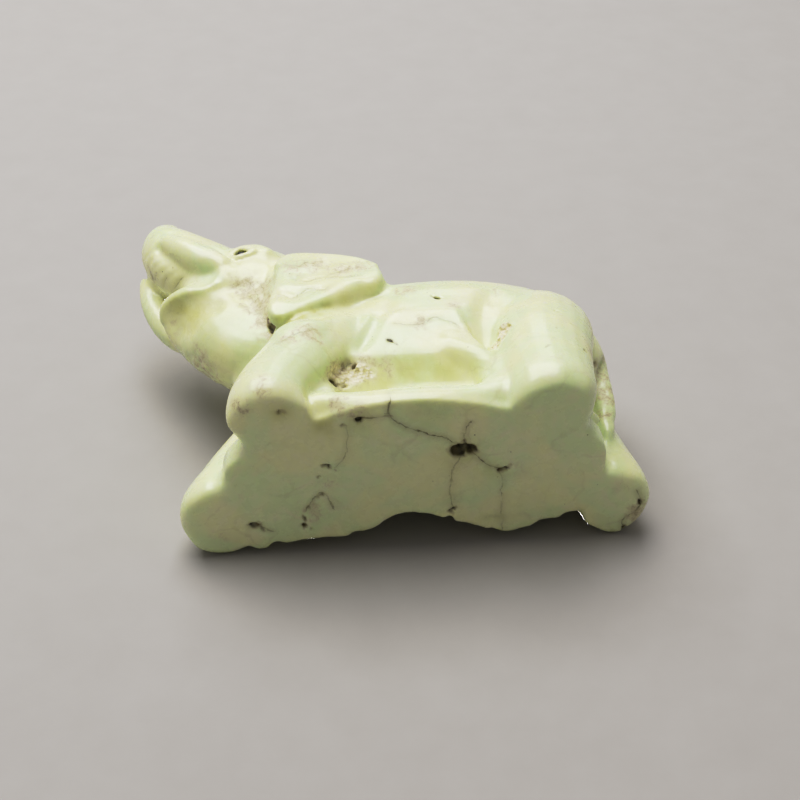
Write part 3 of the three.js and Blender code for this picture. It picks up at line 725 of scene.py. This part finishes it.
def add_marks(mesh):
    """Writes the stone's marks to its vertices: distances in millimetres, the rest from 0 to 1."""
    count = len(mesh.vertices)
    points = vertex_values(mesh, "co").astype(float) / MM
    signed, near, tone = mark_cracks_and_crease_shade(points, vertex_values(mesh, "normal"))
    grain = np.zeros(count)
    for place, radii in GRAINS:
        reach = (((points - np.array(place)) / np.array(radii)) ** 2).sum(1)
        grain = np.maximum(grain, np.exp(-reach ** 2))
    pits = np.zeros(count)
    for place, along, radii in PITS:
        close = np.flatnonzero((np.abs(points - np.array(place)) < MARK_MARGIN).all(1))
        reach = pit_reach(points[close], place, along, radii)
        # Deeper pits get darker: painted shade on top of their brown.
        darkness = 0.5 + 0.5 * between(radii[2], 0.2, 0.7)
        pits[close] = np.maximum(pits[close], darkness * (1 - between(reach, 0.6, 1.7)))
    marks = {
        "crack_and_crease_shade_side": signed, "crack_and_crease_shade_near": np.minimum(near, MARK_FAR), "crack_and_crease_shade_tone": tone,
        "stain": spots(points, STAINS), "grain": grain, "pit": pits, "painted_shade": spots(points, SHADE_SPOTS),
    }
    for name, values in marks.items():
        layer = mesh.attributes.new(name, "FLOAT", "POINT")
        layer.data.foreach_set("value", values.astype(np.float32))


def build_stone():
    """The carving, made anew from the CAD node that it stands for."""
    clay = Clay(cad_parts["stone_carving"])
    sculpt_stone(clay)
    clay.keep_inside()
    points, quads = clay.mesh()
    mesh = bpy.data.meshes.new("polished_stone")
    mesh.from_pydata((points * MM).tolist(), [], quads.tolist())
    mesh.shade_smooth()
    add_marks(mesh)
    return add_object("polished_stone", mesh)


# ---- Eyes ----

TURNED_SIDES = 40
BEAD_STEPS = 24
BEAD_SCALE = 0.985       # the visible bead's size, as a share of the CAD bead's
BEAD_FLATTENING = 0.05


def turned_piece(name, profile, eye, bumps, seed):
    """A round piece turned from (radius, height) points in millimetres, placed at an eye."""
    place, forward, across, looking = eye_axes(eye)
    shape = bmesh.new()
    rings = []
    for radius, height in profile:
        if radius == 0:
            rings.append([shape.verts.new((0, 0, height))])
            continue
        turns = np.arange(TURNED_SIDES) * 2 * math.pi / TURNED_SIDES
        rings.append([shape.verts.new((radius * math.cos(turn), radius * math.sin(turn), height))
                      for turn in turns])
    for lower, upper in zip(rings, rings[1:]):
        for k in range(TURNED_SIDES):
            corners = [lower[k % len(lower)], lower[(k + 1) % len(lower)],
                       upper[(k + 1) % len(upper)], upper[k % len(upper)]]
            shape.faces.new(list(dict.fromkeys(corners)))
    points = np.array([vertex.co for vertex in shape.verts])
    lift = bumps * fractal(points + seed, 0.35, seed)
    shape.normal_update()
    for vertex, rise in zip(shape.verts, lift):
        vertex.co += vertex.normal * rise
    basis = Matrix((forward, across, looking)).transposed()
    for vertex in shape.verts:
        vertex.co = (place + basis @ vertex.co) * MM
    bmesh.ops.recalc_face_normals(shape, faces=shape.faces)
    mesh = bpy.data.meshes.new(name)
    shape.to_mesh(mesh)
    shape.free()
    mesh.shade_smooth()
    return add_object(name, mesh)


def bead_profile():
    """A hand-ground bead: a ball with a slightly flattened front."""
    centre = BEAD_RADIUS - BEAD_DEPTH
    radius = BEAD_SCALE * BEAD_RADIUS
    points = []
    for step in range(BEAD_STEPS + 1):
        angle = -math.pi / 2 + math.pi * step / BEAD_STEPS
        flat = 1 - BEAD_FLATTENING * max(math.sin(angle), 0) ** 3
        points.append((radius * math.cos(angle), centre + radius * flat * math.sin(angle)))
    points[0] = (0, points[0][1])
    points[-1] = (0, points[-1][1])
    return points


# The cement cup from its outer bottom, over its rim, to its inner bottom: radius and height.
CEMENT_PROFILE = [
    (0, -1.58), (0.5, -1.5), (0.95, -1.25), (1.17, -0.7), (1.19, -0.32), (1.13, -0.2), (1.04, -0.2),
    (0.95, -0.3), (0.9, -0.6), (0.72, -1.1), (0.4, -1.38), (0, -1.42),
]


# ---- Materials ----

class Nodes:
    """A short way to lay out a material's nodes."""

    def __init__(self, name):
        self.material = bpy.data.materials.new(name)
        self.material.use_nodes = True
        self.tree = self.material.node_tree
        self.shader = self.tree.nodes["Principled BSDF"]

    def add(self, kind, settings=None, **inputs):
        """A new node. An input is named by its label, or i0, i1 and so on by its number."""
        node = self.tree.nodes.new(kind)
        for key, value in (settings or {}).items():
            setattr(node, key, value)
        for key, value in inputs.items():
            self.put(node.inputs[int(key[1:]) if key[0] == "i" and key[1:].isdigit() else key], value)
        return node

    def put(self, socket, value):
        if isinstance(value, bpy.types.NodeSocket):
            self.tree.links.new(value, socket)
        else:
            socket.default_value = value

    def mark(self, name):
        return self.add("ShaderNodeAttribute", {"attribute_name": name}).outputs["Fac"]

    def shade(self, values):
        """Gives the shader's sockets a value, or another node's output."""
        for name, value in values.items():
            self.put(self.shader.inputs[name], value)

    def math(self, operation, first, second=0.0):
        return self.add("ShaderNodeMath", {"operation": operation}, i0=first, i1=second).outputs[0]

    def times(self, first, second):
        return self.math("MULTIPLY", first, second)

    def rise(self, value, low, high, start=0.0, end=1.0):
        """Turns value between low and high into start to end, smoothly."""
        node = self.add("ShaderNodeMapRange", {"interpolation_type": "SMOOTHSTEP"},
                        i0=value, i1=low, i2=high, i3=start, i4=end)
        return node.outputs[0]

    def mix(self, amount, first, second):
        node = self.add("ShaderNodeMix", {"data_type": "RGBA"})
        self.put(node.inputs["Factor"], amount)
        self.put(node.inputs[6], first)
        self.put(node.inputs[7], second)
        return node.outputs[2]

    def place(self):
        return self.add("ShaderNodeTexCoord").outputs["Object"]

    def noise(self, size, detail=3.0, roughness=0.5, distortion=0.0):
        """Noise whose lumps are about size millimetres wide."""
        node = self.add("ShaderNodeTexNoise", Scale=1 / (size * MM), Detail=detail, Roughness=roughness,
                        Distortion=distortion, Vector=self.place())
        return node.outputs["Fac"]

    def cells(self, size, feature, where=None):
        """A pattern of cells about size millimetres wide."""
        node = self.add("ShaderNodeTexVoronoi", {"feature": feature}, Scale=1 / (size * MM))
        self.put(node.inputs["Vector"], where if where is not None else self.place())
        return node.outputs["Distance"]

    def bump(self, height, distance, strength, normal=None):
        """A bump whose full height is distance millimetres, on top of normal where that is given."""
        node = self.add("ShaderNodeBump", Strength=strength, Distance=distance * MM, Height=height)
        if normal is not None:
            self.put(node.inputs["Normal"], normal)
        return node.outputs["Normal"]


LEMON = (0.86, 0.865, 0.53, 1)
MINT = (0.77, 0.86, 0.53, 1)
CREAM = (0.87, 0.85, 0.59, 1)
TAN = (0.43, 0.375, 0.22, 1)
PALE_TAN = (0.72, 0.67, 0.46, 1)
# Brown of the cracks and the specks, also the painted shade in creases.
CRACK_BROWN_AND_CREASE_SHADE = (0.15, 0.12, 0.055, 1)
# Near-black brown in the pits, darkened as painted shade.
PIT_BROWN_AND_SHADE = (0.028, 0.019, 0.008, 1)
PIT_FLOOR = (0.20, 0.15, 0.06, 1)
# The olive of the painted shade spots.
SHADE_OLIVE = (0.56, 0.55, 0.20, 1)
GRAIN_WHITE = (0.86, 0.80, 0.58, 1)
GRAIN_GAP = (0.56, 0.48, 0.28, 1)
BEAD_BLACK = (0.004, 0.004, 0.005, 1)
BEAD_SWIRL = (0.016, 0.015, 0.014, 1)
DARK_CEMENT = (0.10, 0.085, 0.05, 1)
PALE_CEMENT = (0.30, 0.26, 0.17, 1)
CEMENT_GRIT = (0.5, 0.47, 0.36, 1)
CARD_SHADE = (0.42, 0.40, 0.385, 1)
CARD_PALE = (0.46, 0.44, 0.425, 1)


def stone_material():
    """Lemon chrysoprase: waxy yellow-green stone with tan matrix, cracks, pits and sugary patches;
    painted shade in its hollows, creases and pits.
    """
    n = Nodes("lemon_chrysoprase")
    colour = n.mix(n.rise(n.noise(7, 2, 0.5, 0.6), 0.38, 0.62), LEMON, MINT)
    colour = n.mix(n.rise(n.noise(4.2, 4, 0.6, 1.0), 0.45, 0.75, 0, 0.7), colour, CREAM)
    # Painted shade: olive in the spots where shade falls.
    painted_shade = n.times(n.mark("painted_shade"), n.rise(n.noise(1.8, 3), 0.3, 0.6, 0.45, 0.9))
    colour = n.mix(painted_shade, colour, SHADE_OLIVE)
    cloud = n.rise(n.noise(1.4, 5, 0.62), 0.40, 0.66)
    stain = n.times(n.mark("stain"), n.rise(n.noise(1.1, 6, 0.7, 0.5), 0.36, 0.62, 0.25, 1.0))
    stain_mask = n.rise(stain, 0.08, 0.6, 0, 0.95)
    colour = n.mix(stain_mask, colour, PALE_TAN)
    fine = n.rise(n.noise(0.55, 6, 0.75, 0.8), 0.44, 0.62)
    colour = n.mix(n.times(n.times(stain_mask, fine), 0.75), colour, TAN)
    colour = n.mix(n.times(cloud, 0.05), colour, TAN)
    grain = n.times(n.mark("grain"), n.rise(n.noise(0.8, 4, 0.7), 0.3, 0.6, 0.4, 1.3))
    grain = n.rise(grain, 0.25, 0.6)
    crumbs = n.cells(0.5, "F1")
    colour = n.mix(grain, colour, n.mix(n.rise(crumbs, 0.40, 1.0), GRAIN_WHITE, GRAIN_GAP))
    # Thin veins follow a bent cell pattern where the noise lets them show.
    bend = n.add("ShaderNodeTexNoise", Scale=300.0, Detail=3.0, Vector=n.place()).outputs["Color"]
    shift = n.add("ShaderNodeVectorMath", {"operation": "SCALE"}, i0=bend, Scale=0.003).outputs[0]
    bent = n.add("ShaderNodeVectorMath", {"operation": "ADD"}, i0=n.place(), i1=shift).outputs[0]
    vein_edge = n.cells(5.5, "DISTANCE_TO_EDGE", bent)
    vein = n.times(n.rise(vein_edge, 0.0, 0.05, 1, 0), n.rise(n.noise(6, 2), 0.50, 0.62))
    colour = n.mix(n.times(vein, 0.16), colour, TAN)
    # Cracks, and painted shade along the creases of the ear, cheek and trunk.
    across = n.math("ABSOLUTE", n.mark("crack_and_crease_shade_side"))
    close = n.rise(n.mark("crack_and_crease_shade_near"), 0.25, 0.45, 1, 0)
    width = n.rise(n.noise(0.9, 3, 0.6), 0.35, 0.65, 0.03, 0.13)
    line = n.times(n.rise(n.math("DIVIDE", across, width), 0.6, 1.4, 1, 0), close)
    line = n.times(line, n.rise(n.noise(1.6, 4, 0.7), 0.32, 0.66, 0.15, 1.0))
    line = n.times(line, n.rise(n.mark("crack_and_crease_shade_tone"), 0.0, 1.0, 0.05, 0.85))
    # A tan rim along each line: stain beside the cracks, more painted shade beside the creases.
    halo = n.times(n.rise(n.mark("crack_and_crease_shade_near"), 0.0, 0.9, 1, 0), n.mark("crack_and_crease_shade_tone"))
    colour = n.mix(n.times(halo, 0.40), colour, TAN)
    colour = n.mix(line, colour, CRACK_BROWN_AND_CREASE_SHADE)
    # Pits: brown matrix, with painted shade that deepens with the pit's depth.
    pit = n.rise(n.mark("pit"), 0.36, 0.90)
    pit_halo = n.rise(n.mark("pit"), 0.03, 0.4, 0, 0.5)
    colour = n.mix(pit_halo, colour, TAN)
    colour = n.mix(pit, colour, n.mix(n.rise(n.noise(0.9, 4, 0.7), 0.4, 0.65), PIT_BROWN_AND_SHADE, PIT_FLOOR))
    # Dark specks.
    speck = n.times(n.rise(n.cells(1.9, "F1"), 0.03, 0.07, 1, 0),
                    n.rise(n.noise(3.5, 2), 0.5, 0.6))
    colour = n.mix(n.times(speck, 0.7), colour, CRACK_BROWN_AND_CREASE_SHADE)
    rough = n.rise(n.noise(2.2, 4, 0.6), 0.3, 0.7, 0.20, 0.36)
    rough = n.math("ADD", rough, n.times(stain_mask, 0.2))
    rough = n.math("MAXIMUM", rough, n.times(n.math("MAXIMUM", grain, pit), 0.85))
    ripple = n.bump(n.noise(3.0, 2, 0.5), 0.05, 0.5)
    texture = n.bump(n.noise(0.35, 5, 0.7), 0.02, n.rise(stain_mask, 0, 1, 0.10, 0.9), ripple)
    texture = n.bump(crumbs, 0.25, grain, texture)
    texture = n.bump(line, -0.15, 0.8, texture)
    n.shade({
        "Base Color": colour, "Roughness": rough, "Normal": texture, "IOR": 1.54,
        "Subsurface Weight": 0.30, "Subsurface Radius": (1.0, 1.05, 0.45), "Subsurface Scale": 1.6 * MM,
        "Coat Weight": 0.18, "Coat Roughness": 0.10,
    })
    return n.material


def bead_material():
    """Black glass with faint swirls and a few dull scratches."""
    n = Nodes("black_bead")
    n.shade({
        "Base Color": n.mix(n.rise(n.noise(0.5, 3, 0.6, 1.0), 0.4, 0.7), BEAD_BLACK, BEAD_SWIRL),
        "Roughness": n.rise(n.noise(0.25, 4, 0.7), 0.4, 0.75, 0.05, 0.18),
        "Normal": n.bump(n.noise(0.12, 3), 0.004, 0.3),
        "Coat Weight": 0.6, "Coat Roughness": 0.03,
    })
    return n.material


def cement_material():
    """Dried brown-grey adhesive with grit in it."""
    n = Nodes("set_cement")
    colour = n.mix(n.noise(0.3, 5, 0.7), DARK_CEMENT, PALE_CEMENT)
    n.shade({
        "Base Color": n.mix(n.rise(n.cells(0.12, "F1"), 0.1, 0.3, 0.5, 0), colour, CEMENT_GRIT),
        "Roughness": n.rise(n.noise(0.2, 4), 0.3, 0.7, 0.55, 0.85),
        "Normal": n.bump(n.noise(0.1, 5, 0.7), 0.03, 0.8),
    })
    return n.material


# ---- Stage: floor, camera and lamps ----

# The carving lies on its right side, so the floor is an upright plane that touches that side.
LYING_TILT = math.radians(36)        # how steeply the camera looks down on the floor
LYING_TURN = math.radians(4.7)       # how far the carving is turned on the floor
FLOOR_GAP = 0.1 * MM
CAMERA_DISTANCE = 0.197
# Places on the floor: how far to the right, how far away, and for LOOK_AT and LAMPS how high.
LOOK_AT = (0, 0.012, 0.012)
FLOOR_CORNERS = [(-0.6, -0.5), (0.6, -0.5), (0.6, 1.2), (-0.6, 1.2)]
# Lamps: place, edge length and watts. The side that lies on the floor has a lamp of its own.
LAMPS = {
    "softbox": ((-0.10, 0.18, 0.43), 0.42, 1.95),
    "window": ((0.02, 0.36, 0.20), 0.10, 0.05),
    "underside": ((0, 0.34, -0.29), 0.14, 0.8),
}
SKY_COLOUR = (1.0, 0.98, 0.95, 1)
SKY_STRENGTH = 0.21
# A film-like curve from scene light to picture: deep shadows, highlights that pale before they burn.
BRIGHTEST = 2
TONE_CURVE = [(0.03, 0.018), (0.11, 0.088), (0.22, 0.22), (0.42, 0.53), (0.65, 0.73), (0.86, 0.84),
              (1.25, 0.95)]
LENS_ANGLE = 2 * math.atan(4 / 17)

FLOOR_NORMAL = Vector((0, -1, 0))
FLOOR_SIDEWAYS = Vector((math.cos(LYING_TURN), 0, -math.sin(LYING_TURN)))
FLOOR_AWAY = Vector((math.sin(LYING_TURN), 0, math.cos(LYING_TURN)))


def on_floor(sideways, away, height):
    """The point in the row's frame that is so far to the right, away and above the floor."""
    floor_y = cad_box[1][1] + FLOOR_GAP
    spot = FLOOR_SIDEWAYS * sideways + FLOOR_AWAY * away + FLOOR_NORMAL * height
    return spot + Vector((0, floor_y, 0))


def aim(obj, target, up):
    """Turns a camera or lamp, whose view is along its own -Z, at target."""
    back = (obj.location - target).normalized()
    right = up.cross(back).normalized()
    rotation = Matrix((right, back.cross(right), back)).transposed()
    obj.matrix_world = Matrix.Translation(obj.location) @ rotation.to_4x4()


def add_camera():
    data = bpy.data.cameras.new("camera")
    data.angle = LENS_ANGLE
    data.clip_start = 0.01
    camera = add_object("camera", data)
    target = on_floor(*LOOK_AT)
    back = FLOOR_NORMAL * math.sin(LYING_TILT) - FLOOR_AWAY * math.cos(LYING_TILT)
    camera.location = target + back * CAMERA_DISTANCE
    aim(camera, target, FLOOR_NORMAL)
    bpy.context.scene.camera = camera


def add_lamp(name, spot, size, watts, target):
    data = bpy.data.lights.new(name, "AREA")
    data.shape = "SQUARE"
    data.size = size
    data.energy = watts
    lamp = add_object(name, data)
    lamp.location = spot
    nearly_upright = abs(FLOOR_NORMAL.dot((spot - target).normalized())) > 0.9
    aim(lamp, target, FLOOR_AWAY if nearly_upright else FLOOR_NORMAL)
    return lamp


def floor_material():
    """Pale card. Its back is clear, so that views from behind see past it."""
    n = Nodes("pale_card")
    n.shade({"Base Color": n.mix(n.noise(6, 4, 0.6), CARD_SHADE, CARD_PALE), "Roughness": 0.75})
    clear = n.add("ShaderNodeBsdfTransparent")
    side = n.add("ShaderNodeNewGeometry")
    mix = n.add("ShaderNodeMixShader", i0=side.outputs["Backfacing"], i1=n.shader.outputs["BSDF"],
                i2=clear.outputs["BSDF"])
    n.tree.links.new(mix.outputs["Shader"], n.tree.nodes["Material Output"].inputs["Surface"])
    return n.material


def add_floor():
    mesh = bpy.data.meshes.new("floor")
    corners = [on_floor(sideways, away, 0) for sideways, away in FLOOR_CORNERS]
    mesh.from_pydata(corners, [], [(0, 1, 2, 3)])
    mesh.materials.append(floor_material())
    floor = add_object("floor", mesh)


def light_scene(pieces):
    world = bpy.data.worlds.new("studio")
    bpy.context.scene.world = world
    world.use_nodes = True
    background = world.node_tree.nodes["Background"]
    background.inputs["Color"].default_value = SKY_COLOUR
    background.inputs["Strength"].default_value = SKY_STRENGTH
    middle = on_floor(*LOOK_AT)
    lamps = {name: add_lamp(name, on_floor(*spot), size, watts, middle)
             for name, (spot, size, watts) in LAMPS.items()}
    # The floor neither stops nor shows the lamp below it.
    fill = lamps["underside"]
    fill.data.cycles.max_bounces = 0
    carving = bpy.data.collections.new("carving")
    for obj in pieces:
        carving.objects.link(obj)
    fill.light_linking.receiver_collection = carving
    fill.light_linking.blocker_collection = carving


def set_tone():
    view = bpy.context.scene.view_settings
    view.view_transform = "Standard"
    view.use_curve_mapping = True
    mapping = view.curve_mapping
    mapping.clip_max_x = BRIGHTEST
    tone = mapping.curves[3]
    tone.points[0].location = (0, 0)
    tone.points[1].location = (BRIGHTEST, 1)
    for scene_light, shown in TONE_CURVE:
        tone.points.new(scene_light, shown)
    mapping.update()


def place_piece(piece, material, node):
    """Gives a piece its material, hangs it on the root, and hides the CAD part that it stands for."""
    piece.data.materials.append(material)
    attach(piece, "root")
    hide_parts(node)


add_camera()
stone = build_stone()
place_piece(stone, stone_material(), "stone_carving")
pieces = [stone]
bead_look = bead_material()
cement_look = cement_material()
for number, eye in enumerate(EYE_PLACES):
    bead = turned_piece(eye + "_bead", bead_profile(), eye, bumps=0.006, seed=70 + number)
    place_piece(bead, bead_look, eye)
    ring = turned_piece(eye + "_cement_ring", CEMENT_PROFILE, eye, bumps=0.02, seed=80 + number)
    place_piece(ring, cement_look, eye + "_cement")
    pieces += [bead, ring]
add_floor()
light_scene(pieces)
set_tone()
